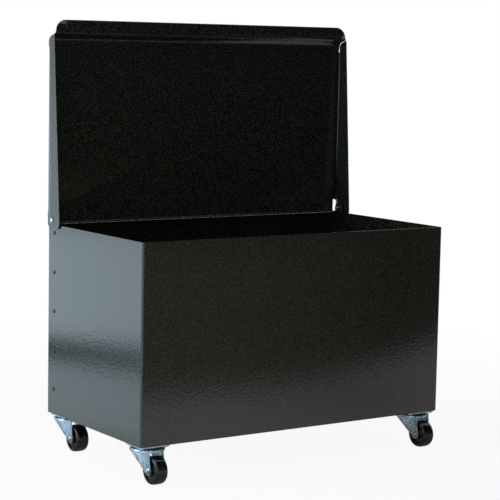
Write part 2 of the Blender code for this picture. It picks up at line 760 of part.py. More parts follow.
def caster(corner):
    """One swivel caster: the fork turns on its kingpin, and the wheel on its axle."""
    middle = caster_place(corner)
    turn = Matrix.Translation(middle)
    hub = turn @ Matrix.Translation((0, -CASTER_TRAIL, WHEEL_HEIGHT))
    caster_plate(corner)
    kingpin(corner)
    fork(corner, turn)
    wheel(corner, hub)
    axle(corner, hub)
    plate_screws(corner)


def axle_hole(corner):
    place = caster_place(corner) + Vector((0, -CASTER_TRAIL, WHEEL_HEIGHT))
    length = 2 * (LEG_FACE + FORK_SHEET + WHEEL_WIDTH)
    return cutter(f"axle_hole_{corner}", [place], AXLE_RADIUS + GAP, length, X_AXIS, SMALL_SIDES)


X_AXIS = Vector((1, 0, 0))
Z_AXIS = Vector((0, 0, 1))
SIDE_HOLES = cutter(
    "side_holes",
    side_screw_places(-BODY_WIDTH / 2) + side_screw_places(BODY_WIDTH / 2),
    SCREW_RADIUS + GAP,
    8 * WALL_INNER,
    X_AXIS,
    SMALL_SIDES,
)
PIVOT_HOLES = cutter(
    "pivot_holes",
    [Vector((side * BODY_WIDTH / 2, PIVOT_Y, PIVOT_Z)) for side in SIDES.values()],
    BOLT_RADIUS + GAP,
    8 * (WALL_INNER + LID_SIDE_CLEARANCE),
    X_AXIS,
    SMALL_SIDES,
)
PLATE_HOLES = cutter(
    "plate_holes",
    [place for corner in CORNERS for place in plate_screw_places(corner)],
    PLATE_SCREW_RADIUS + GAP,
    4 * (PLATE_THICKNESS + SHEET),
    Z_AXIS,
    SMALL_SIDES,
)
KINGPIN_HOLES = cutter(
    "kingpin_holes",
    [caster_place(corner) + Vector((0, 0, PLATE_UNDER)) for corner in CORNERS],
    KINGPIN_RADIUS,
    4 * (PLATE_THICKNESS + RACE_DEPTH),
    Z_AXIS,
    SMALL_SIDES,
)
AXLE_HOLES = {corner: axle_hole(corner) for corner in CORNERS}

body_wrap()
back_panel()
floor_tray()
lid()
for name in SIDES:
    lid_pivot(name)
    side_screws(name)
for name in CORNERS:
    caster(name)
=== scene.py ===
import json
from math import asin, atan2, cos, hypot, pi, radians, sin, tan

import bmesh
import bpy
from bpy.props import FloatProperty, FloatVectorProperty, IntProperty, PointerProperty
from mathutils import Matrix, Vector

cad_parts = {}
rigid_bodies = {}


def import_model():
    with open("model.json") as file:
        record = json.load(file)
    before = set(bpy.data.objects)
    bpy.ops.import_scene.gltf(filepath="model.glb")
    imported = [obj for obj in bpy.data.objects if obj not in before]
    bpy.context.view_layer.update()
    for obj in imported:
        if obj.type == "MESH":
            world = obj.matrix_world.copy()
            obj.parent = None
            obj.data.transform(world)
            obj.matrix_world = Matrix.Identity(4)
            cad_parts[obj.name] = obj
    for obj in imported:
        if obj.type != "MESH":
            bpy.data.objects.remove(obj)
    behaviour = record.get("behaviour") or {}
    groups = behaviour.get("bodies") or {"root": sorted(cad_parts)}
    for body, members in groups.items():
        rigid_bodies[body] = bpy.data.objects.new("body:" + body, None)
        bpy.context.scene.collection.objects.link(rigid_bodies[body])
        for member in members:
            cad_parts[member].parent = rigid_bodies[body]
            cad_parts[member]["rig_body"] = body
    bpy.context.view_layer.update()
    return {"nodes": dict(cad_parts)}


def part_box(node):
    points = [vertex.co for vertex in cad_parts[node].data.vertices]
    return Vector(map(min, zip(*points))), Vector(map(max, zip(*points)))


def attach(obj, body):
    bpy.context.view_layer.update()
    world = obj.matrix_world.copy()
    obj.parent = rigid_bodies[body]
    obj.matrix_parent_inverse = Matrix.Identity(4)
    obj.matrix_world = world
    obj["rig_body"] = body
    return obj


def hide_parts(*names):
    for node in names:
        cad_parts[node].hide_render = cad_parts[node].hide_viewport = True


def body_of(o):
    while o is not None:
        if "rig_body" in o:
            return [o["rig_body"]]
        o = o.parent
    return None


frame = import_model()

bl_info = {
    "name": "Rolling storage bin",
    "version": (1, 0, 0),
    "blender": (4, 5, 0),
    "location": "3D View > Sidebar > Storage Bin",
    "description": "Finished sheets, fasteners and casters of a folded steel storage bin, over its solids",
    "category": "Object",
}

MM = 0.001
SIDES = {"left": -1, "right": 1}
CORNERS = ("front_left", "front_right", "rear_left", "rear_right")
SHEETS = ("body_wrap", "back_panel", "floor_tray", "lid")
SCREW_COUNT = 5
PLATE_SCREWS = 4

# faces round a turned piece
SMALL_ROUND = 40
BOLT_ROUND = 48
ROUND = 64
NUT_ROUND = 72
WHEEL_ROUND = 96

# the lid's stop flange: height over the rim, front edge, and distance inside the lid's widest face
STOP_EDGE, STOP_FRONT, STOP_END = 1.5 * MM, 172 * MM, 5.8 * MM
# the lid's side flanges and the brow between them: inside the widest face, and below the top
FLANGE_FACE, FLANGE_END = 1.3 * MM, 44 * MM
BROW_FACE, BROW_END = (2.9 * MM, 4.2 * MM), (23 * MM, 40 * MM)


def linear(hex_colour):
    """sRGB hex to linear red, green and blue."""
    parts = [int(hex_colour[i : i + 2], 16) / 255 for i in (0, 2, 4)]
    return tuple(c / 12.92 if c <= 0.04045 else ((c + 0.055) / 1.055) ** 2.4 for c in parts)


class PaintLook(bpy.types.PropertyGroup):
    """Sizes and colours of the painted sheets"""

    ground: FloatVectorProperty(
        name="Ground", description="Paint between the flecks", subtype="COLOR", default=linear("0A0C0A")
    )
    cloud: FloatVectorProperty(
        name="Cloud", description="Slightly thinner paint in small soft patches",
        subtype="COLOR", default=linear("323C31"),
    )
    fleck: FloatVectorProperty(
        name="Fleck", description="Fine pale flecks in the paint", subtype="COLOR", default=linear("57584A")
    )
    edge: FloatVectorProperty(
        name="Edge", description="Thin paint along cut edges", subtype="COLOR", default=linear("2B2A24")
    )
    fleck_spacing: FloatProperty(
        name="Fleck spacing", description="Distance between flecks", unit="LENGTH", default=2.6 * MM
    )
    mottle_spacing: FloatProperty(
        name="Mottle spacing", description="Distance between darker and paler patches",
        unit="LENGTH", default=3.0 * MM,
    )
    peel_spacing: FloatProperty(
        name="Peel spacing", description="Width of one bump of the paint's skin", unit="LENGTH", default=2.2 * MM
    )
    hammer_spacing: FloatProperty(
        name="Hammer spacing", description="Distance between the paint's shallow dimples",
        unit="LENGTH", default=4.8 * MM,
    )
    stop_gap: FloatProperty(
        name="Stop gap", description="Gap left under the edge of the lid's stop flange",
        unit="LENGTH", default=0.2 * MM,
    )
    slot_fill: FloatProperty(
        name="Slot fill", description="How far a side flange's end is drawn towards the lid's brow",
        unit="LENGTH", default=2.6 * MM,
    )
    slot_side: FloatProperty(
        name="Slot side", description="How far the end of the lid's brow is drawn towards a side flange",
        unit="LENGTH", default=1.4 * MM,
    )
    edge_round: FloatProperty(
        name="Edge rounding", description="Rounding that the paint gives a cut edge", unit="LENGTH", default=0.28 * MM
    )


class FittingLook(bpy.types.PropertyGroup):
    """Sizes and colours of screws, pivots and casters"""

    zinc: FloatVectorProperty(name="Zinc", description="Bright zinc plate", subtype="COLOR", default=linear("A9BCC6"))
    zinc_dull: FloatVectorProperty(
        name="Dull zinc", description="Duller patches of the plate", subtype="COLOR", default=linear("748A98")
    )
    zinc_patch: FloatProperty(
        name="Zinc patch", description="Width of one dull patch of the plate", unit="LENGTH", default=9.0 * MM
    )
    zinc_streak: FloatProperty(
        name="Zinc streak", description="Width of one streak of the plate", unit="LENGTH", default=1.1 * MM
    )
    screw: FloatVectorProperty(
        name="Screw", description="Black screw finish", subtype="COLOR", default=linear("101112")
    )
    screw_rubbed: FloatVectorProperty(
        name="Rubbed screw", description="Screw finish where the driver rubbed it",
        subtype="COLOR", default=linear("3B3C3E"),
    )
    rub_size: FloatProperty(
        name="Rub size", description="Width of one rubbed spot on a screw", unit="LENGTH", default=1.6 * MM
    )
    wheel: FloatVectorProperty(name="Wheel", description="Moulded wheel", subtype="COLOR", default=linear("0C0C0E"))
    scuff: FloatVectorProperty(
        name="Scuff", description="Dust and scuffs on the tread", subtype="COLOR", default=linear("2C2B2A")
    )
    scuff_size: FloatProperty(
        name="Scuff size", description="Width of one scuff on the tread", unit="LENGTH", default=2.4 * MM
    )
    cross_width: FloatProperty(
        name="Cross width", description="Width of one slot of a screw's cross recess", unit="LENGTH", default=1.1 * MM
    )
    cross_depth: FloatProperty(
        name="Cross depth", description="Depth of a screw's cross recess", unit="LENGTH", default=0.7 * MM
    )
    seed: IntProperty(name="Seed", description="Picks how far each screw was turned home", default=4)
    plate_sheet: FloatProperty(
        name="Plate sheet", description="Thickness of a caster's top plate", unit="LENGTH", default=2.5 * MM
    )
    fork_sheet: FloatProperty(
        name="Fork sheet", description="Thickness of a caster's fork", unit="LENGTH", default=2.2 * MM
    )
    leg_half: FloatProperty(
        name="Leg half width", description="Half the width of a fork leg at its top", unit="LENGTH", default=29.0 * MM
    )
    leg_crease: FloatProperty(
        name="Leg crease", description="Bend along the middle of a fork leg", subtype="ANGLE", default=radians(11)
    )


class StageLook(bpy.types.PropertyGroup):
    """Camera, floor and lamps"""

    eye: FloatVectorProperty(
        name="Eye", description="Place of the camera",
        subtype="XYZ", unit="LENGTH", default=(-1.7664, -2.6212, 0.7369),
    )
    turn: FloatVectorProperty(
        name="Turn", description="Turn of the camera", subtype="EULER", default=(1.45566, -0.01947, -0.59035)
    )
    lens: FloatProperty(
        name="Lens", description="Focal length in millimetres on a 36 mm sensor", unit="CAMERA", default=123.88
    )
    room: FloatProperty(
        name="Room", description="Light that the white room throws on the bin", subtype="FACTOR", default=0.15
    )
    floor: FloatVectorProperty(name="Floor", description="Pale floor", subtype="COLOR", default=linear("F2F2F2"))
    # painted reflection: the cool tint that the floor shows only in mirrors, on the left
    painted_cool_reflection: FloatVectorProperty(
        name="Cool floor", description="Floor as the left side mirrors it", subtype="COLOR", default=linear("DCEFFF")
    )
    # painted shadow: the floor under and beside the bin is drawn darker only in mirrors
    footprint: FloatVectorProperty(
        name="Footprint", description="Half the floor area under the bin, which its sides mirror darker",
        subtype="XYZ", unit="LENGTH", default=(0.324, 0.17, 0.0),
    )
    # glowing cards seen only in mirrors, which paint dark reflections on the bin
    flag: FloatVectorProperty(
        name="Flag", description="Dark cards in front and to the left", subtype="COLOR", default=linear("FFFBE6")
    )
    side_lamp: FloatProperty(
        name="Side lamp", description="Power of the soft lamp behind the left side", unit="POWER", default=0.6
    )
    left_lamp: FloatProperty(
        name="Left lamp", description="Power of the large lamp far to the left", unit="POWER", default=45.0
    )
    top_lamp: FloatProperty(name="Top lamp", description="Power of the soft lamp above", unit="POWER", default=7.0)
    front_lamp: FloatProperty(
        name="Front lamp", description="Power of the weak lamp at the front", unit="POWER", default=2.0
    )


def add_node(tree, kind, inputs=None, **settings):
    """Add a node, set it, link or set its inputs by name or number, and give its outputs."""
    made = tree.nodes.new(kind)
    for key, value in settings.items():
        setattr(made, key, value)
    for key, value in (inputs or {}).items():
        for each in value if isinstance(value, list) else [value]:
            if isinstance(each, bpy.types.NodeSocket):
                tree.links.new(each, made.inputs[key])
            else:
                made.inputs[key].default_value = each
    return made.outputs


def empty_tree(owner):
    """The node tree of a material or world, cleared."""
    owner.use_nodes = True
    owner.node_tree.nodes.clear()
    return owner.node_tree


def start_finish(name):
    """A new material, its tree, and the piece's own coordinates."""
    made = bpy.data.materials.new(name)
    tree = empty_tree(made)
    where = add_node(tree, "ShaderNodeTexCoord")["Object"]
    return made, tree, where


def end_finish(tree, look):
    """Join a finish's shader, set from its look, to the output."""
    shader = add_node(tree, "ShaderNodeBsdfPrincipled", look)
    add_node(tree, "ShaderNodeOutputMaterial", {"Surface": shader["BSDF"]})


def colour(value):
    """A linear colour with full alpha."""
    return (*value, 1.0)


def hammered_powder_coat(name, look, ground):
    """Baked powder coat on steel: deep brown-black with shallow dimples and sparse pale flecks.

    The dimples break reflections into ripples; the flecks show at arm's length. Dimples and
    flecks are drawn coarser than real ones, so that they show in a picture of the whole bin.
    """
    made, tree, where = start_finish(name)
    peel, mottle, hammer = [
        add_node(
            tree,
            "ShaderNodeTexNoise",
            {"Vector": where, "Scale": 1 / spacing, "Detail": detail, "Roughness": ragged},
        )["Fac"]
        for spacing, detail, ragged in (
            (look.peel_spacing, 2.0, 0.6),
            (look.mottle_spacing, 3.0, 0.6),
            (look.hammer_spacing, 1.0, 0.5),
        )
    ]
    flecks = add_node(tree, "ShaderNodeTexVoronoi", {"Vector": where, "Scale": 1 / look.fleck_spacing})
    # thin and thick paint
    patchy = add_node(tree, "ShaderNodeMapRange", {0: mottle, 1: 0.42, 2: 0.60, 3: 0.0, 4: 1.0})[0]
    body = add_node(tree, "ShaderNodeMix", {0: patchy, 6: colour(ground), 7: colour(look.cloud)}, data_type="RGBA")[2]
    # only some cells carry a fleck, and it fades from the cell's middle
    pick = add_node(tree, "ShaderNodeSeparateColor", {0: flecks["Color"]})[0]
    chosen = add_node(tree, "ShaderNodeMapRange", {0: pick, 1: 0.62, 2: 0.95, 3: 0.0, 4: 1.0})[0]
    dot = add_node(tree, "ShaderNodeMapRange", {0: flecks["Distance"], 1: 0.46, 2: 0.16, 3: 0.0, 4: 1.0})[0]
    amount = add_node(tree, "ShaderNodeMath", {0: chosen, 1: dot}, operation="MULTIPLY")[0]
    painted = add_node(tree, "ShaderNodeMix", {0: amount, 6: body, 7: colour(look.fleck)}, data_type="RGBA")[2]
    gloss = add_node(tree, "ShaderNodeMapRange", {0: peel, 1: 0.3, 2: 0.7, 3: 0.09, 4: 0.18})[0]
    # flecks stand on the fine skin, and both ride on the dimples
    rough = add_node(tree, "ShaderNodeMath", {0: amount, 1: 0.35, 2: peel}, operation="MULTIPLY_ADD")[0]
    height = add_node(tree, "ShaderNodeMath", {0: hammer, 1: 3.6, 2: rough}, operation="MULTIPLY_ADD")[0]
    skin = add_node(tree, "ShaderNodeBump", {"Strength": 0.32, "Distance": 0.16 * MM, "Height": height})["Normal"]
    end_finish(tree, {"Base Color": painted, "Roughness": gloss, "Normal": skin, "IOR": 1.52})
    return made


def bright_zinc(name, look):
    """Electroplated zinc with a clear blue passivation: cool, bright and softly streaked metal."""
    made, tree, where = start_finish(name)
    patches = add_node(
        tree, "ShaderNodeTexNoise", {"Vector": where, "Scale": 1 / look.zinc_patch, "Detail": 3.0, "Roughness": 0.6}
    )["Fac"]
    stretched = add_node(tree, "ShaderNodeMapping", {"Vector": where, "Scale": (1.0, 1.0, 0.12)})[0]
    streaks = add_node(
        tree, "ShaderNodeTexNoise", {"Vector": stretched, "Scale": 1 / look.zinc_streak, "Detail": 2.0}
    )["Fac"]
    dull = add_node(tree, "ShaderNodeMapRange", {0: patches, 1: 0.35, 2: 0.72, 3: 0.0, 4: 1.0})[0]
    plate = add_node(
        tree, "ShaderNodeMix", {0: dull, 6: colour(look.zinc), 7: colour(look.zinc_dull)}, data_type="RGBA"
    )[2]
    gloss = add_node(tree, "ShaderNodeMapRange", {0: streaks, 1: 0.3, 2: 0.7, 3: 0.18, 4: 0.38})[0]
    skin = add_node(tree, "ShaderNodeBump", {"Strength": 0.12, "Distance": 0.05 * MM, "Height": streaks})["Normal"]
    end_finish(tree, {"Base Color": plate, "Roughness": gloss, "Normal": skin, "Metallic": 1.0})
    return made


def black_oxide_steel(name, look):
    """Blackened screw steel: dark, slightly satin, with greyer rubbed spots from the driver."""
    made, tree, where = start_finish(name)
    rubbed = add_node(tree, "ShaderNodeTexNoise", {"Vector": where, "Scale": 1 / look.rub_size, "Detail": 3.0})["Fac"]
    amount = add_node(tree, "ShaderNodeMapRange", {0: rubbed, 1: 0.55, 2: 0.8, 3: 0.0, 4: 0.6})[0]
    tone = add_node(
        tree, "ShaderNodeMix", {0: amount, 6: colour(look.screw), 7: colour(look.screw_rubbed)}, data_type="RGBA"
    )[2]
    gloss = add_node(tree, "ShaderNodeMapRange", {0: rubbed, 1: 0.3, 2: 0.8, 3: 0.42, 4: 0.26})[0]
    end_finish(tree, {"Base Color": tone, "Roughness": gloss})
    return made


def moulded_black_plastic(name, look):
    """Injection-moulded polypropylene: deep glossy black, its tread dulled by dust and fine scuffs."""
    made, tree, where = start_finish(name)
    tread = add_node(tree, "ShaderNodeAttribute", attribute_name="tread")["Fac"]
    grain = add_node(
        tree, "ShaderNodeTexNoise", {"Vector": where, "Scale": 1 / look.scuff_size, "Detail": 4.0, "Roughness": 0.65}
    )["Fac"]
    worn = add_node(tree, "ShaderNodeMapRange", {0: grain, 1: 0.45, 2: 0.8, 3: 0.0, 4: 0.55})[0]
    scuffed = add_node(tree, "ShaderNodeMath", {0: worn, 1: tread}, operation="MULTIPLY")[0]
    tone = add_node(
        tree, "ShaderNodeMix", {0: scuffed, 6: colour(look.wheel), 7: colour(look.scuff)}, data_type="RGBA"
    )[2]
    gloss = add_node(tree, "ShaderNodeMath", {0: grain, 1: 0.14, 2: 0.07}, operation="MULTIPLY_ADD")[0]
    skin = add_node(tree, "ShaderNodeBump", {"Strength": 0.10, "Distance": 0.06 * MM, "Height": grain})["Normal"]
    end_finish(tree, {"Base Color": tone, "Roughness": gloss, "Normal": skin, "IOR": 1.49})
    return made


def finish(name):
    """The material of that name, made the first time it is asked for."""
    paint = bpy.context.scene.bin_paint
    fittings = bpy.context.scene.bin_fittings
    make, *look = {
        "hammered_powder_coat": (hammered_powder_coat, paint, paint.ground),
        "thin_coat_on_edges": (hammered_powder_coat, paint, paint.edge),
        "bright_zinc_plate": (bright_zinc, fittings),
        "black_oxide_steel": (black_oxide_steel, fittings),
        "moulded_black_plastic": (moulded_black_plastic, fittings),
    }[name]
    return bpy.data.materials.get(name) or make(name, *look)


def middle(node):
    """Middle of a solid's box."""
    low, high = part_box(node)
    return (low + high) / 2


def put(name, mesh, finishes, nodes):
    """Make a finished piece that rides with the body of the nodes it stands for."""
    piece = bpy.data.objects.new(name, mesh)
    for each in finishes:
        mesh.materials.append(finish(each))
    bpy.context.scene.collection.objects.link(piece)
    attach(piece, body_of(frame["nodes"][nodes[0]])[0])
    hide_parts(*nodes)
    return piece


def as_mesh(bm, name, angle):
    """Close, turn outwards and smooth a made shape, sharp above the angle."""
    bmesh.ops.remove_doubles(bm, verts=bm.verts[:], dist=1e-7)
    bmesh.ops.recalc_face_normals(bm, faces=bm.faces[:])
    mesh = bpy.data.meshes.new(name)
    bm.to_mesh(mesh)
    bm.free()
    mesh.shade_smooth()
    mesh.set_sharp_from_angle(angle=radians(angle))
    return mesh


def put_plated(kind, where, bm, angle):
    """Make a zinc-plated fitting that stands for the solid of its kind and place."""
    name = f"{kind}_finish_{where}"
    return put(name, as_mesh(bm, name, angle), ("bright_zinc_plate",), [f"{kind}_{where}"])


def round_edges(piece, width, angle, finish_index=-1):
    """Small rounding on every sharp edge, in its own finish where one is given."""
    made = piece.modifiers.new("edge_rounding", "BEVEL")
    made.width = width
    made.segments = 2
    made.limit_method = "ANGLE"
    made.angle_limit = radians(angle)
    made.use_clamp_overlap = False
    made.harden_normals = True
    made.material = finish_index


def arc(radius, height, reach, rise, start, stop, steps):
    """Part of a round in a section, about (radius, height), in degrees from the section's axis."""
    swings = [radians(start + (stop - start) * i / steps) for i in range(steps + 1)]
    return [(radius + reach * sin(swing), height + rise * cos(swing)) for swing in swings]


def thread(start, stop, radius, root, pitch):
    """Ridges of a thread in a section, from start down to stop."""
    ridges = []
    while start > stop:
        ridges += [(radius, start), (root, start - pitch / 2)]
        start -= pitch
    return ridges


def turned(section, sides, place=Matrix(), flats=0.0, bm=None):
    """Turn a section of (radius, height) about Z, cut to six flats where their width is given.

    A section that leaves the axis clear closes on itself round its bore.
    """
    bm = bmesh.new() if bm is None else bm
    rings = []
    for radius, height in section:
        if radius == 0:
            rings.append([bm.verts.new(place @ Vector((0, 0, height)))])
            continue
        ring = []
        for i in range(sides):
            angle = 2 * pi * i / sides
            reach = radius
            if flats:
                reach = min(radius, flats / 2 / cos((angle + pi / 6) % (pi / 3) - pi / 6))
            ring.append(bm.verts.new(place @ Vector((reach * cos(angle), reach * sin(angle), height))))
        rings.append(ring)
    following = rings[1:] + (rings[:1] if section[0][0] > 0 else [])
    for near, far in zip(rings, following):
        for i in range(sides):
            j = (i + 1) % sides
            corners = [near[i % len(near)], near[j % len(near)], far[j % len(far)], far[i % len(far)]]
            bm.faces.new(list(dict.fromkeys(corners)))
    return bm


def loft(rings):
    """Skin a stack of closed outlines and cap both ends."""
    bm = bmesh.new()
    made = [[bm.verts.new(point) for point in ring] for ring in rings]
    for near, far in zip(made, made[1:]):
        for i in range(len(near)):
            j = (i + 1) % len(near)
            bm.faces.new((near[i], near[j], far[j], far[i]))
    bm.faces.new(made[0])
    bm.faces.new(made[-1])
    return bm


def along_x(place, sign):
    """A place with Z turned to point along +X or -X."""
    return Matrix.Translation(place) @ Matrix.Rotation(sign * pi / 2, 4, "Y")


def nut(place, flats, height, bore):
    """Chamfered hexagon nut, standing on its seat."""
    corner = flats / 2 / cos(pi / 6)
    chamfer = flats / 2 * 0.97
    drop = (corner - chamfer) * tan(radians(30))
    section = [
        (bore + 0.3 * MM, 0),
        (chamfer, 0),
        (corner, drop),
        (corner, height - drop),
        (chamfer, height),
        (bore + 0.4 * MM, height),
        (bore, height - 0.4 * MM),
        (bore, 0.3 * MM),
    ]
    return turned(section, NUT_ROUND, place, flats)


def draw_in_gaps(bm, look):
    """Narrow the slots at the lid's front corners and the gap under its stop flange."""
    rim = max(vert.co.z for vert in frame["nodes"]["body_wrap"].data.vertices)
    top = max(vert.co.z for vert in bm.verts)
    widest = max(abs(vert.co.x) for vert in bm.verts)
    for vert in bm.verts:
        inside = widest - abs(vert.co.x)
        below = top - vert.co.z
        if 0 < vert.co.z - rim < STOP_EDGE and vert.co.y < STOP_FRONT and inside > STOP_END:
            vert.co.z = rim + look.stop_gap
        if inside < FLANGE_FACE and below < FLANGE_END:
            vert.co.z += look.slot_fill
        elif BROW_FACE[0] < inside < BROW_FACE[1] and BROW_END[0] < below < BROW_END[1]:
            vert.co.x += look.slot_side * (1 if vert.co.x > 0 else -1)


class BIN_OT_sheets(bpy.types.Operator):
    """Finish the wrapped body, back panel, floor tray and lid with rounded, painted edges"""

    bl_idname = "storage_bin.sheets"
    bl_label = "Painted sheets"

    def execute(self, context):
        look = context.scene.bin_paint
        for node in SHEETS:
            name = "painted_" + node
            bm = bmesh.new()
            bm.from_mesh(frame["nodes"][node].data)
            bmesh.ops.remove_doubles(bm, verts=bm.verts[:], dist=2e-6)
            bmesh.ops.dissolve_limit(bm, angle_limit=radians(0.5), verts=bm.verts[:], edges=bm.edges[:])
            if node == "lid":
                draw_in_gaps(bm, look)
            mesh = bpy.data.meshes.new(name)
            bm.to_mesh(mesh)
            bm.free()
            mesh.materials.clear()
            mesh.shade_smooth()
            mesh.set_sharp_from_angle(angle=radians(38))
            piece = put(name, mesh, ("hammered_powder_coat", "thin_coat_on_edges"), [node])
            round_edges(piece, look.edge_round, 50, 1)
        return {"FINISHED"}


# a screw's sizes: a name, how it is worked out, and the inputs, earlier names or numbers it comes from
SCREW_SHAPE = (
    ("radius", "MULTIPLY", "Head diameter", 0.5),
    ("half height", "MULTIPLY", "Head height", 0.5),
    ("shank radius", "MULTIPLY", "Shank diameter", 0.5),
    ("shank middle", "MULTIPLY", "Shank length", -0.5),
    # the dome falls away towards the brim
    ("out", "DIVIDE", "reach", "radius"),
    ("curve", "POWER", "out", 2.4),
    ("fall", "MULTIPLY", "Head height", -0.62),
    ("dome", "MULTIPLY", "curve", "fall"),
    # the cross is two slots that end short of the brim
    ("half slot", "MULTIPLY", "Cross width", 0.5),
    ("arm", "MULTIPLY", "radius", 0.58),
    ("from x", "ABSOLUTE", "x"),
    ("from y", "ABSOLUTE", "y"),
    ("thin x", "LESS_THAN", "from x", "half slot"),
    ("short y", "LESS_THAN", "from y", "arm"),
    ("slot y", "MULTIPLY", "thin x", "short y"),
    ("thin y", "LESS_THAN", "from y", "half slot"),
    ("short x", "LESS_THAN", "from x", "arm"),
    ("slot x", "MULTIPLY", "thin y", "short x"),
    ("slots", "MAXIMUM", "slot y", "slot x"),
    ("sink", "MULTIPLY", "Cross depth", -1.0),
    ("cross", "MULTIPLY", "slots", "sink"),
    # only the head's top face is shaped
    ("brim", "MULTIPLY", "Head height", 0.9),
    ("on top", "GREATER_THAN", "z", "brim"),
    ("change", "ADD", "dome", "cross"),
    ("drop", "MULTIPLY", "change", "on top"),
)


def screw_tree():
    """Node tree that sets a domed, cross-slotted screw on every point, along the point's own axis."""
    tree = bpy.data.node_groups.new("screw_set", "GeometryNodeTree")
    for name, kind in (
        ("Points", "Geometry"),
        ("Head diameter", "Float"),
        ("Head height", "Float"),
        ("Shank diameter", "Float"),
        ("Shank length", "Float"),
        ("Cross width", "Float"),
        ("Cross depth", "Float"),
        ("Seed", "Int"),
        ("Finish", "Material"),
    ):
        tree.interface.new_socket(name, in_out="INPUT", socket_type="NodeSocket" + kind)
    tree.interface.new_socket("Screws", in_out="OUTPUT", socket_type="NodeSocketGeometry")
    given = add_node(tree, "NodeGroupInput")
    place = add_node(tree, "GeometryNodeInputPosition")[0]
    axes = add_node(tree, "ShaderNodeSeparateXYZ", {0: place})
    level = add_node(tree, "ShaderNodeCombineXYZ", {"X": axes["X"], "Y": axes["Y"]})[0]
    reach = add_node(tree, "ShaderNodeVectorMath", {0: level}, operation="LENGTH")["Value"]

    size = {socket.name: socket for socket in given}
    size.update(x=axes["X"], y=axes["Y"], z=axes["Z"], reach=reach)
    for name, operation, *terms in SCREW_SHAPE:
        inputs = dict(enumerate(size.get(term, term) for term in terms))
        size[name] = add_node(tree, "ShaderNodeMath", inputs, operation=operation)[0]
    lifted, lowered, sunk = [
        add_node(tree, "ShaderNodeCombineXYZ", {"Z": size[name]})[0]
        for name in ("half height", "drop", "shank middle")
    ]

    head = add_node(
        tree,
        "GeometryNodeMeshCylinder",
        {
            "Vertices": 48,
            "Side Segments": 2,
            "Fill Segments": 12,
            "Radius": size["radius"],
            "Depth": size["Head height"],
        },
        fill_type="TRIANGLE_FAN",
    )
    seated = add_node(tree, "GeometryNodeTransform", {"Geometry": head["Mesh"], "Translation": lifted})
    shaped = add_node(tree, "GeometryNodeSetPosition", {"Geometry": seated[0], "Offset": lowered})
    shank = add_node(
        tree,
        "GeometryNodeMeshCylinder",
        {"Vertices": 24, "Radius": size["shank radius"], "Depth": size["Shank length"]},
    )
    set_in = add_node(tree, "GeometryNodeTransform", {"Geometry": shank["Mesh"], "Translation": sunk})
    screw = add_node(tree, "GeometryNodeJoinGeometry", {0: [shaped[0], set_in[0]]})

    axis = add_node(tree, "GeometryNodeInputNamedAttribute", {"Name": "outward"}, data_type="FLOAT_VECTOR")[0]
    stand = add_node(tree, "FunctionNodeAlignRotationToVector", {"Vector": axis}, axis="Z")[0]
    home = add_node(tree, "FunctionNodeRandomValue", {2: 0.0, 3: 2 * pi, "Seed": given["Seed"]}, data_type="FLOAT")[1]
    twist = add_node(tree, "FunctionNodeAxisAngleToRotation", {"Axis": (0, 0, 1), "Angle": home})[0]
    driven = add_node(
        tree, "FunctionNodeRotateRotation", {"Rotation": stand, "Rotate By": twist}, rotation_space="LOCAL"
    )[0]
    spread = add_node(
        tree, "GeometryNodeInstanceOnPoints", {"Points": given["Points"], "Instance": screw[0], "Rotation": driven}
    )
    real = add_node(tree, "GeometryNodeRealizeInstances", {"Geometry": spread[0]})
    coated = add_node(tree, "GeometryNodeSetMaterial", {"Geometry": real[0], "Material": given["Finish"]})
    add_node(tree, "NodeGroupOutput", {"Screws": coated[0]})
    return tree


def screws(name, places, sizes, finish_name, nodes):
    """One piece of like screws, set out by the node tree. places is [(seat, outward)]."""
    look = bpy.context.scene.bin_fittings
    seats, axes = zip(*places)
    mesh = bpy.data.meshes.new(name + "_places")
    mesh.from_pydata(seats, [], [])
    outward = mesh.attributes.new("outward", "FLOAT_VECTOR", "POINT")
    for point, axis in zip(outward.data, axes):
        point.vector = axis
    points = bpy.data.objects.new(name + "_places", mesh)
    bpy.context.scene.collection.objects.link(points)
    tree = bpy.data.node_groups.get("screw_set") or screw_tree()
    made = points.modifiers.new("screw_set", "NODES")
    made.node_group = tree
    values = {
        **sizes,
        "Cross width": look.cross_width,
        "Cross depth": look.cross_depth,
        "Seed": look.seed,
        "Finish": finish(finish_name),
    }
    for item in tree.interface.items_tree:
        if item.in_out == "INPUT" and item.name in values:
            made[item.identifier] = values[item.name]
    bpy.context.view_layer.update()
    ready = points.evaluated_get(bpy.context.evaluated_depsgraph_get())
    real = bpy.data.meshes.new_from_object(ready)
    if len(real.polygons) < 100 * len(places):
        raise RuntimeError("the screw tree gave too few faces for " + name)
    points.modifiers.remove(made)
    bpy.data.objects.remove(points)
    real.materials.clear()
    real.shade_smooth()
    real.set_sharp_from_angle(angle=radians(40))
    return put(name, real, (finish_name,), nodes)


class BIN_OT_side_screws(bpy.types.Operator):
    """Set black screws down the rear edge of both side walls"""

    bl_idname = "storage_bin.side_screws"
    bl_label = "Side screws"

    def execute(self, context):
        places, nodes = [], []
        wall_low, wall_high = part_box("body_wrap")
        for name, side in SIDES.items():
            for i in range(1, SCREW_COUNT + 1):
                node = f"side_screw_{name}_{i}"
                seat = middle(node)
                seat.x = (wall_high if side > 0 else wall_low).x
                places.append((seat, (side, 0, 0)))
                nodes.append(node)
        low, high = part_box(nodes[0])
        sizes = {
            "Head diameter": high.y - low.y,
            "Head height": wall_low.x - low.x,
            "Shank diameter": 3.8 * MM,
            "Shank length": high.x - wall_low.x,
        }
        screws("side_screw_set", places, sizes, "black_oxide_steel", nodes)
        return {"FINISHED"}


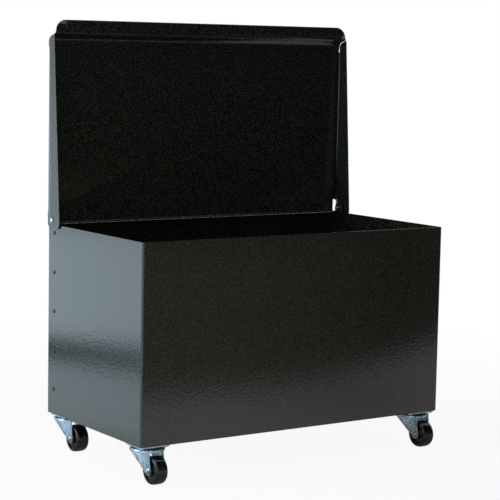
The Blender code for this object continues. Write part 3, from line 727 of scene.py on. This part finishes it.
class BIN_OT_caster_screws(bpy.types.Operator):
    """Set zinc screws through every caster plate into the floor"""

    bl_idname = "storage_bin.caster_screws"
    bl_label = "Caster screws"

    def execute(self, context):
        places, nodes = [], []
        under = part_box("caster_plate_front_left")[1].z - context.scene.bin_fittings.plate_sheet
        for corner in CORNERS:
            for i in range(1, PLATE_SCREWS + 1):
                node = f"caster_screw_{corner}_{i}"
                seat = middle(node)
                seat.z = under
                places.append((seat, (0, 0, -1)))
                nodes.append(node)
        low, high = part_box(nodes[0])
        sizes = {
            "Head diameter": high.y - low.y,
            "Head height": under - low.z,
            "Shank diameter": 5.2 * MM,
            "Shank length": high.z - under,
        }
        screws("caster_screw_set", places, sizes, "bright_zinc_plate", nodes)
        return {"FINISHED"}


class BIN_OT_lid_pivots(bpy.types.Operator):
    """Make the bolt, spacer and nut at each end of the lid's axis"""

    bl_idname = "storage_bin.lid_pivots"
    bl_label = "Lid pivots"

    def execute(self, context):
        head_height, shank, root, pitch = 3.0 * MM, 2.5 * MM, 2.2 * MM, 0.5 * MM
        bore, flats = 2.8 * MM, 8.0 * MM
        for name, side in SIDES.items():
            low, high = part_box("pivot_bolt_" + name)
            head = high.x if side > 0 else -low.x
            tail = low.x if side > 0 else -high.x
            radius = (high.z - low.z) / 2
            seat = head - head_height
            axis = middle("pivot_bolt_" + name)
            axis.x = 0
            place = along_x(axis, side)
            # recess, dome, brim, then shank and thread, as (radius, height along the bolt)
            bolt = [(0, head - 0.9 * MM), (1.3 * MM, head - 0.9 * MM), (1.5 * MM, head - 0.15 * MM)]
            bolt += arc(0, seat + 0.5 * MM, radius, head_height - 0.5 * MM, 20, 90, 8)
            bolt += [(radius, seat + 0.2 * MM), (radius - 0.2 * MM, seat), (shank, seat)]
            bolt += thread(seat - 6.0 * MM, tail + 0.6 * MM, shank, root, pitch)
            bolt += [(2.0 * MM, tail), (0, tail)]
            put_plated("pivot_bolt", name, turned(bolt, SMALL_ROUND, place), 40)

            low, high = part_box("pivot_spacer_" + name)
            outer = (high.z - low.z) / 2
            inner_end, outer_end = sorted((abs(low.x), abs(high.x)))
            spacer = [
                (bore, inner_end + 0.2 * MM),
                (bore + 0.2 * MM, inner_end),
                (outer - 0.3 * MM, inner_end),
                (outer, inner_end + 0.3 * MM),
                (outer, outer_end - 0.3 * MM),
                (outer - 0.3 * MM, outer_end),
                (bore + 0.2 * MM, outer_end),
                (bore, outer_end - 0.2 * MM),
            ]
            put_plated("pivot_spacer", name, turned(spacer, SMALL_ROUND, place), 40)

            low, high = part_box("pivot_nut_" + name)
            inner_end, outer_end = sorted((abs(low.x), abs(high.x)))
            seated = place @ Matrix.Translation((0, 0, inner_end))
            put_plated("pivot_nut", name, nut(seated, flats, outer_end - inner_end, bore), 28)
        return {"FINISHED"}


class BIN_OT_caster_plates(bpy.types.Operator):
    """Make each caster's top plate with its pressed race, and the rivet through it"""

    bl_idname = "storage_bin.caster_plates"
    bl_label = "Caster plates"

    def execute(self, context):
        look = context.scene.bin_fittings
        corner_round, chamfer = 6.0 * MM, 0.4 * MM
        overlap = 0.1 * MM
        for corner in CORNERS:
            low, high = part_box("caster_plate_" + corner)
            centre = (low + high) / 2
            half = (high - low) / 2
            under = high.z - look.plate_sheet
            place = Matrix.Translation((centre.x, centre.y, 0))
            rings = []
            for inset, height in (
                (chamfer, under),
                (0, under + chamfer),
                (0, high.z - chamfer),
                (chamfer, high.z),
            ):
                ring = []
                reach = corner_round - inset
                for quarter, (to_x, to_y) in enumerate(((1, 1), (-1, 1), (-1, -1), (1, -1))):
                    for i in range(9):
                        swing = (quarter + i / 8) * pi / 2
                        x = centre.x + to_x * (half.x - corner_round) + reach * cos(swing)
                        y = centre.y + to_y * (half.y - corner_round) + reach * sin(swing)
                        ring.append((x, y, height))
                rings.append(ring)
            bm = loft(rings)
            # the race: a pressed ring with a groove near the rivet, as (radius, height)
            floor = low.z + overlap
            race = [(0, under + overlap), (26.0 * MM, under + overlap)]
            race += arc(23.8 * MM, under, 1.6 * MM, floor - under, 90, 0, 8)
            race += [
                (12.5 * MM, floor),
                (11.8 * MM, floor + 0.6 * MM),
                (10.6 * MM, floor + 0.6 * MM),
                (9.9 * MM, floor),
                (0, floor),
            ]
            put_plated("caster_plate", corner, turned(race, ROUND, place, bm=bm), 32)

            low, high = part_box("caster_kingpin_" + corner)
            head, head_height, shank, flat = (high.y - low.y) / 2, 2.4 * MM, 3.7 * MM, 1.9 * MM
            rivet = [
                (0, high.z),
                (shank - 0.3 * MM, high.z),
                (shank, high.z - 0.3 * MM),
                (shank, low.z + head_height + 0.2 * MM),
            ]
            rivet += arc(flat, low.z + head_height, head - flat, -head_height, 90, 0, 9)
            rivet += [(1.5 * MM, low.z + 0.5 * MM), (0, low.z + 0.6 * MM)]
            put_plated("caster_kingpin", corner, turned(rivet, SMALL_ROUND, place), 32)
        return {"FINISHED"}


def leg_outline(axle, top, half, skirt, end):
    """Side view of a fork leg from its top corners down to its round end, as (y, z) from the kingpin."""
    corners = [Vector((-half, top - skirt)), Vector((half, top - skirt))]
    touch = []
    for corner, sign in zip(corners, (1, -1)):
        run = corner - axle
        lean = atan2(run.y, run.x)
        touch.append(lean + sign * (pi / 2 - asin(end / run.length)))
    sweep = (touch[1] + 2 * pi - touch[0]) % (2 * pi)
    outline = [Vector((half, top)), Vector((-half, top)), corners[0]]
    for i in range(25):
        angle = touch[0] + sweep * i / 24
        outline.append(axle + end * Vector((cos(angle), sin(angle))))
    outline.append(corners[1])
    return outline


def add_leg(bm, outline, crest, foot, side, sheet, crease):
    """Add a fork leg, bent outwards behind the line from crest to foot, which lie on its inner face."""
    leg = bmesh.new()
    leg.faces.new([leg.verts.new(point) for point in outline])
    bend_top = crest.z - sheet / 2
    bend_run = 3.0 * MM
    across = (foot - crest).cross(Vector((1, 0, 0))).normalized()
    if across.y < 0:
        across = -across
    bmesh.ops.bisect_plane(leg, geom=leg.verts[:] + leg.edges[:] + leg.faces[:], plane_co=crest, plane_no=across)
    for vert in leg.verts:
        behind = (vert.co - crest).dot(across)
        if behind > 0.01 * MM and vert.co.z < bend_top:
            vert.co.x += side * behind * tan(crease) * min(1, (bend_top - vert.co.z) / bend_run)
    bmesh.ops.recalc_face_normals(leg, faces=leg.faces[:])
    for each in leg.faces:
        if each.normal.x * side < 0:
            each.normal_flip()
    bmesh.ops.solidify(leg, geom=leg.faces[:], thickness=-sheet)
    held = bpy.data.meshes.new("leg")
    leg.to_mesh(held)
    leg.free()
    bm.from_mesh(held)
    bpy.data.meshes.remove(held)


class BIN_OT_caster_forks(bpy.types.Operator):
    """Make each pressed fork, with its axle bolt and nut"""

    bl_idname = "storage_bin.caster_forks"
    bl_label = "Caster forks"

    def execute(self, context):
        look = context.scene.bin_fittings
        sheet = look.fork_sheet
        wheel_gap, pin_bore, skirt, leg_end = 0.3 * MM, 4.0 * MM, 5.0 * MM, 8.5 * MM
        shoulder, cut_round, cut_angle = 2.0 * MM, 0.35 * MM, 60
        # the crease runs from in front of the kingpin down to behind the axle
        crease_top, crease_foot = Vector((0, -6.0 * MM, 0)), Vector((0, 9.0 * MM, 4.0 * MM))
        shank, root, pitch = 3.0 * MM, 2.65 * MM, 0.8 * MM
        nut_flats, nut_bore = 10.0 * MM, 3.2 * MM
        for corner in CORNERS:
            pin = middle("caster_kingpin_" + corner)
            hub = middle("caster_wheel_" + corner)
            low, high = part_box("caster_wheel_" + corner)
            face = (high.x - low.x) / 2 + wheel_gap
            low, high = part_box("caster_fork_" + corner)
            crown = (high.x - low.x) / 2
            top = high.z
            inside = crown - sheet
            # the crown: a shallow cup with a short skirt, as (radius, height)
            cup = [(pin_bore, top - 0.2 * MM), (pin_bore + 0.2 * MM, top), (crown - shoulder, top)]
            cup += arc(crown - shoulder, top - shoulder, shoulder, shoulder, 15, 90, 5)
            cup += [
                (crown, top - skirt + 0.2 * MM),
                (crown - 0.3 * MM, top - skirt),
                (inside + 0.3 * MM, top - skirt),
                (inside, top - skirt + 0.2 * MM),
                (inside, top - sheet),
                (pin_bore, top - sheet),
            ]
            bm = turned(cup, ROUND, Matrix.Translation((pin.x, pin.y, 0)))
            axle = Vector((hub.y - pin.y, hub.z))
            outline = leg_outline(axle, top - sheet / 2, look.leg_half, skirt, leg_end)
            for side in SIDES.values():
                inner = pin.x + side * face
                crest = Vector((inner, pin.y, top - sheet / 2)) + crease_top
                foot = Vector((inner, hub.y, hub.z)) + crease_foot
                points = [(inner, pin.y + point.x, point.y) for point in outline]
                add_leg(bm, points, crest, foot, side, sheet, look.leg_crease)
            piece = put_plated("caster_fork", corner, bm, 30)
            round_edges(piece, cut_round, cut_angle)

            low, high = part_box("caster_axle_" + corner)
            seat = hub.x - face - sheet
            radius = (high.z - low.z) / 2
            # hollow head and washer on the left, thread on the right, as (radius, distance to the left)
            bolt = [
                (0, -low.x - 1.6 * MM),
                (1.7 * MM, -low.x - 1.4 * MM),
                (2.1 * MM, -low.x - 0.2 * MM),
                (2.5 * MM, -low.x),
                (3.6 * MM, -low.x),
                (4.3 * MM, -low.x - 0.5 * MM),
                (4.5 * MM, -seat + 1.3 * MM),
                (4.9 * MM, -seat + 1.0 * MM),
                (radius - 0.2 * MM, -seat + 0.8 * MM),
                (radius, -seat + 0.5 * MM),
                (radius, -seat + 0.3 * MM),
                (shank, -seat + 0.3 * MM),
            ]
            bolt += thread(-(hub.x + face + sheet) - pitch / 2, -high.x + 0.7 * MM, shank, root, pitch)
            bolt += [(2.4 * MM, -high.x), (0, -high.x)]
            place = along_x((0, hub.y, hub.z), -1)
            put_plated("caster_axle", corner, turned(bolt, BOLT_ROUND, place), 36)

            low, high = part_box("caster_axle_nut_" + corner)
            place = along_x((low.x, hub.y, hub.z), 1)
            put_plated("caster_axle_nut", corner, nut(place, nut_flats, high.x - low.x, nut_bore), 28)
        return {"FINISHED"}


class BIN_OT_caster_wheels(bpy.types.Operator):
    """Turn each moulded wheel with its dished web, bead and rounded tread"""

    bl_idname = "storage_bin.caster_wheels"
    bl_label = "Caster wheels"

    def execute(self, context):
        proud, dish, tyre, tread = 1.0 * MM, 4.2 * MM, 6.2 * MM, 0.5 * MM
        round_in, round_along = 3.0 * MM, 8.0 * MM
        for corner in CORNERS:
            low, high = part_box("caster_wheel_" + corner)
            hub = (low + high) / 2
            radius = hub.z
            cheek = (high.x - low.x) / 2
            half = cheek - proud
            web = half - dish
            rim = radius - tyre
            # hub, web, rim with its bead, then the rounded tread, as (radius, distance from the middle)
            side = [
                (3.3 * MM, cheek - 0.3 * MM),
                (3.6 * MM, cheek),
                (8.4 * MM, cheek),
                (9.0 * MM, cheek - 0.6 * MM),
                (9.5 * MM, web + 0.9 * MM),
                (10.4 * MM, web),
                (rim - 2.0 * MM, web),
                (rim - 1.1 * MM, web + 0.9 * MM),
                (rim - 0.4 * MM, half - 0.6 * MM),
                (rim + 0.2 * MM, half),
                (rim + 1.7 * MM, half),
                (rim + 2.0 * MM, half - 0.35 * MM),
                (rim + 2.4 * MM, half - 0.35 * MM),
                (rim + 2.7 * MM, half),
            ]
            side += arc(radius - round_in, half - round_along, round_in, round_along, 0, 90, 8)
            # the mould's parting line
            side += [(radius, 0.35 * MM), (radius, 0.3 * MM), (radius - 0.12 * MM, 0.1 * MM)]
            section = side + [(reach, -height) for reach, height in reversed(side)]
            name = "caster_wheel_finish_" + corner
            mesh = as_mesh(turned(section, WHEEL_ROUND, along_x(hub, 1)), name, 30)
            worn = mesh.attributes.new("tread", "FLOAT", "POINT")
            for i, vert in enumerate(mesh.vertices):
                reach = hypot(vert.co.y - hub.y, vert.co.z - hub.z)
                worn.data[i].value = 1.0 if reach > radius - tread else 0.0
            put(name, mesh, ("moulded_black_plastic",), ["caster_wheel_" + corner])
        return {"FINISHED"}


def seen_ray(tree):
    """A factor for what the camera, mirrors and glass see, and one for mirrors alone."""
    path = add_node(tree, "ShaderNodeLightPath")
    seen = path["Is Camera Ray"]
    for ray in ("Is Glossy Ray", "Is Transmission Ray"):
        seen = add_node(tree, "ShaderNodeMath", {0: seen, 1: path[ray]}, operation="MAXIMUM")[0]
    return seen, path["Is Glossy Ray"]


def stage_piece(name, points, faces, finish_name):
    """A plain object of the stage, and the empty tree of its material."""
    mesh = bpy.data.meshes.new(name)
    mesh.from_pydata(points, [], faces)
    made = bpy.data.objects.new(name, mesh)
    bpy.context.scene.collection.objects.link(made)
    mesh.materials.append(bpy.data.materials.new(finish_name))
    return made, empty_tree(mesh.materials[0])


def white_room(look):
    """World that looks white and lights the bin weakly."""
    world = bpy.data.worlds.new("white_room")
    tree = empty_tree(world)
    seen = seen_ray(tree)[0]
    strength = add_node(tree, "ShaderNodeMapRange", {0: seen, 1: 0.0, 2: 1.0, 3: look.room, 4: 1.0})
    sky = add_node(tree, "ShaderNodeBackground", {"Color": (1, 1, 1, 1), "Strength": strength[0]})
    add_node(tree, "ShaderNodeOutputWorld", {"Surface": sky[0]})
    return world


def lay_floor(look):
    """Pale floor that keeps the bin's shadow; in mirrors alone it glows with a painted reflection, lighter and cooler
    on the left, dimmer on the right, with a painted shadow at the bin's foot.
    """
    edge = 20
    corners = [(-edge, -edge, 0), (edge, -edge, 0), (edge, edge, 0), (-edge, edge, 0)]
    floor, tree = stage_piece("floor", corners, [(0, 1, 2, 3)], "pale_floor")
    seen, mirrored = seen_ray(tree)
    where = add_node(tree, "ShaderNodeTexCoord")["Object"]
    across = add_node(tree, "ShaderNodeSeparateXYZ", {0: where})["X"]
    # white away from the bin, slightly shadowed near it
    away = add_node(tree, "ShaderNodeVectorMath", {0: where}, operation="LENGTH")["Value"]
    white = add_node(tree, "ShaderNodeMapRange", {0: away, 1: 0.5, 2: 1.6, 3: 0.93, 4: 1.0})[0]
    share = add_node(tree, "ShaderNodeMath", {0: seen, 1: white}, operation="MULTIPLY")[0]
    # distance outside the footprint
    beside = add_node(tree, "ShaderNodeVectorMath", {0: where}, operation="ABSOLUTE")[0]
    for operation, term in (("SUBTRACT", look.footprint), ("MAXIMUM", (0, 0, 0))):
        beside = add_node(tree, "ShaderNodeVectorMath", {0: beside, 1: term}, operation=operation)[0]
    beside = add_node(tree, "ShaderNodeVectorMath", {0: beside}, operation="LENGTH")["Value"]
    # what mirrors see is a painted reflection: lighter to the left, dimmer to the right, and dark at the foot as a
    # painted shadow
    level = 1.0
    for value, start, stop, first, last in (
        (across, -0.3, -0.6, 1.0, 1.65),
        (across, 0.0, 0.5, 1.0, 0.6),
        (beside, 0.0, 0.22, 0.3, 1.0),
    ):
        ramp = add_node(tree, "ShaderNodeMapRange", {0: value, 1: start, 2: stop, 3: first, 4: last})[0]
        level = add_node(tree, "ShaderNodeMath", {0: level, 1: ramp}, operation="MULTIPLY")[0]
    level = add_node(tree, "ShaderNodeMix", {0: mirrored, 2: 1.0, 3: level})[0]
    # and a painted cool tint on the left, seen only in mirrors
    cool = add_node(tree, "ShaderNodeMapRange", {0: across, 1: -0.3, 2: -0.6, 3: 0.0, 4: 1.0})[0]
    cool = add_node(tree, "ShaderNodeMath", {0: cool, 1: mirrored}, operation="MULTIPLY")[0]
    tint = add_node(
        tree, "ShaderNodeMix", {0: cool, 6: (1, 1, 1, 1), 7: colour(look.painted_cool_reflection)}, data_type="RGBA"
    )[2]
    matt = add_node(tree, "ShaderNodeBsdfDiffuse", {"Color": colour(look.floor)})[0]
    glow = add_node(tree, "ShaderNodeEmission", {"Color": tint, "Strength": level})[0]
    both = add_node(tree, "ShaderNodeMixShader", {0: share, 1: matt, 2: glow})[0]
    add_node(tree, "ShaderNodeOutputMaterial", {"Surface": both})


def stand_cards(look):
    """Faintly glowing cards that only mirrors see, in front of the bin and low along its left; they paint dark
    reflections on the bin's front and left side.
    """
    front = ((-0.30, -0.85), (2.2, -0.60))
    side = ((-1.01, 0.41), (-0.57, 1.31))
    edges = ((front, 0.01), (front, 3.2), (side, 0.002), (side, 0.055))
    flag, tree = stage_piece(
        "flag", [(x, y, z) for ends, z in edges for x, y in ends], [(0, 1, 3, 2), (4, 5, 7, 6)], "painted_reflection_card"
    )
    flag.visible_camera = flag.visible_diffuse = flag.visible_shadow = False
    where = add_node(tree, "ShaderNodeTexCoord")["Object"]
    where = add_node(tree, "ShaderNodeSeparateXYZ", {0: where})
    # painted reflection: the cards glow dimmer to the right, above the lid's lip, and on the left card
    glow = 1.0
    for axis, start, stop, first, last in (
        ("X", 0.0, 1.0, 0.26, 0.08),
        ("Z", 0.28, 0.45, 1.0, 0.15),
        ("X", -0.6, -0.3, 0.2, 1.0),
    ):
        ramp = add_node(tree, "ShaderNodeMapRange", {0: where[axis], 1: start, 2: stop, 3: first, 4: last})[0]
        glow = add_node(tree, "ShaderNodeMath", {0: glow, 1: ramp}, operation="MULTIPLY")[0]
    card = add_node(tree, "ShaderNodeEmission", {"Color": colour(look.flag), "Strength": glow})
    add_node(tree, "ShaderNodeOutputMaterial", {"Surface": card[0]})


class BIN_OT_stage(bpy.types.Operator):
    """Set the camera, the white room, the pale floor, the glowing cards that paint dark reflections, and the soft
    lamps
    """

    bl_idname = "storage_bin.stage"
    bl_label = "Camera and stage"

    def execute(self, context):
        scene = context.scene
        look = scene.bin_stage
        scene.view_settings.view_transform = "Standard"

        lens = bpy.data.cameras.new("camera")
        lens.lens = look.lens
        lens.sensor_width = 36.0
        lens.clip_end = 60.0
        camera = bpy.data.objects.new("camera", lens)
        camera.location = look.eye
        camera.rotation_euler = look.turn
        scene.collection.objects.link(camera)
        scene.camera = camera

        scene.world = white_room(look)
        lay_floor(look)
        stand_cards(look)
        for name, place, aim, size, power, tint in (
            ("side_lamp", (-0.79, 0.86, 0.18), (0.11, 0.42, 0.18), (0.95, 0.26), look.side_lamp, "DAEAFF"),
            ("left_lamp", (-2.2, 0.55, 0.85), (0.32, 0.0, 0.40), (1.2, 1.2), look.left_lamp, "E6EEFF"),
            ("top_lamp", (-0.5, -0.3, 2.6), (0.0, 0.0, 0.35), (2.0, 2.0), look.top_lamp, "FFFFFF"),
            ("front_lamp", (-2.2, -2.4, 1.6), (0.0, 0.0, 0.35), (1.2, 1.2), look.front_lamp, "FFFFFF"),
        ):
            lamp = bpy.data.lights.new(name, "AREA")
            lamp.shape = "RECTANGLE"
            lamp.size, lamp.size_y = size
            lamp.energy = power
            lamp.color = linear(tint)
            held = bpy.data.objects.new(name, lamp)
            held.location = place
            held.visible_camera = False
            held.rotation_euler = (Vector(aim) - Vector(place)).to_track_quat("-Z", "Y").to_euler()
            scene.collection.objects.link(held)
        return {"FINISHED"}


OPERATORS = (
    BIN_OT_sheets,
    BIN_OT_side_screws,
    BIN_OT_lid_pivots,
    BIN_OT_caster_plates,
    BIN_OT_caster_screws,
    BIN_OT_caster_forks,
    BIN_OT_caster_wheels,
    BIN_OT_stage,
)


class BIN_PT_panel(bpy.types.Panel):
    """Lists the bin's pieces, their sizes and their colours"""

    bl_idname = "BIN_PT_panel"
    bl_label = "Storage Bin"
    bl_space_type = "VIEW_3D"
    bl_region_type = "UI"
    bl_category = "Storage Bin"

    def draw(self, context):
        layout = self.layout
        for each in OPERATORS:
            layout.operator(each.bl_idname)
        for group in (context.scene.bin_paint, context.scene.bin_fittings, context.scene.bin_stage):
            box = layout.box()
            for key in group.__annotations__:
                box.prop(group, key)


GROUPS = {"bin_paint": PaintLook, "bin_fittings": FittingLook, "bin_stage": StageLook}


def register():
    for each in (*GROUPS.values(), *OPERATORS, BIN_PT_panel):
        bpy.utils.register_class(each)
    for name, group in GROUPS.items():
        setattr(bpy.types.Scene, name, PointerProperty(type=group))


def unregister():
    for name in GROUPS:
        delattr(bpy.types.Scene, name)
    for each in reversed((*GROUPS.values(), *OPERATORS, BIN_PT_panel)):
        bpy.utils.unregister_class(each)


def main():
    register()
    bpy.ops.storage_bin.sheets()
    bpy.ops.storage_bin.side_screws()
    bpy.ops.storage_bin.lid_pivots()
    bpy.ops.storage_bin.caster_plates()
    bpy.ops.storage_bin.caster_screws()
    bpy.ops.storage_bin.caster_forks()
    bpy.ops.storage_bin.caster_wheels()
    bpy.ops.storage_bin.stage()


if __name__ == "__main__":
    main()
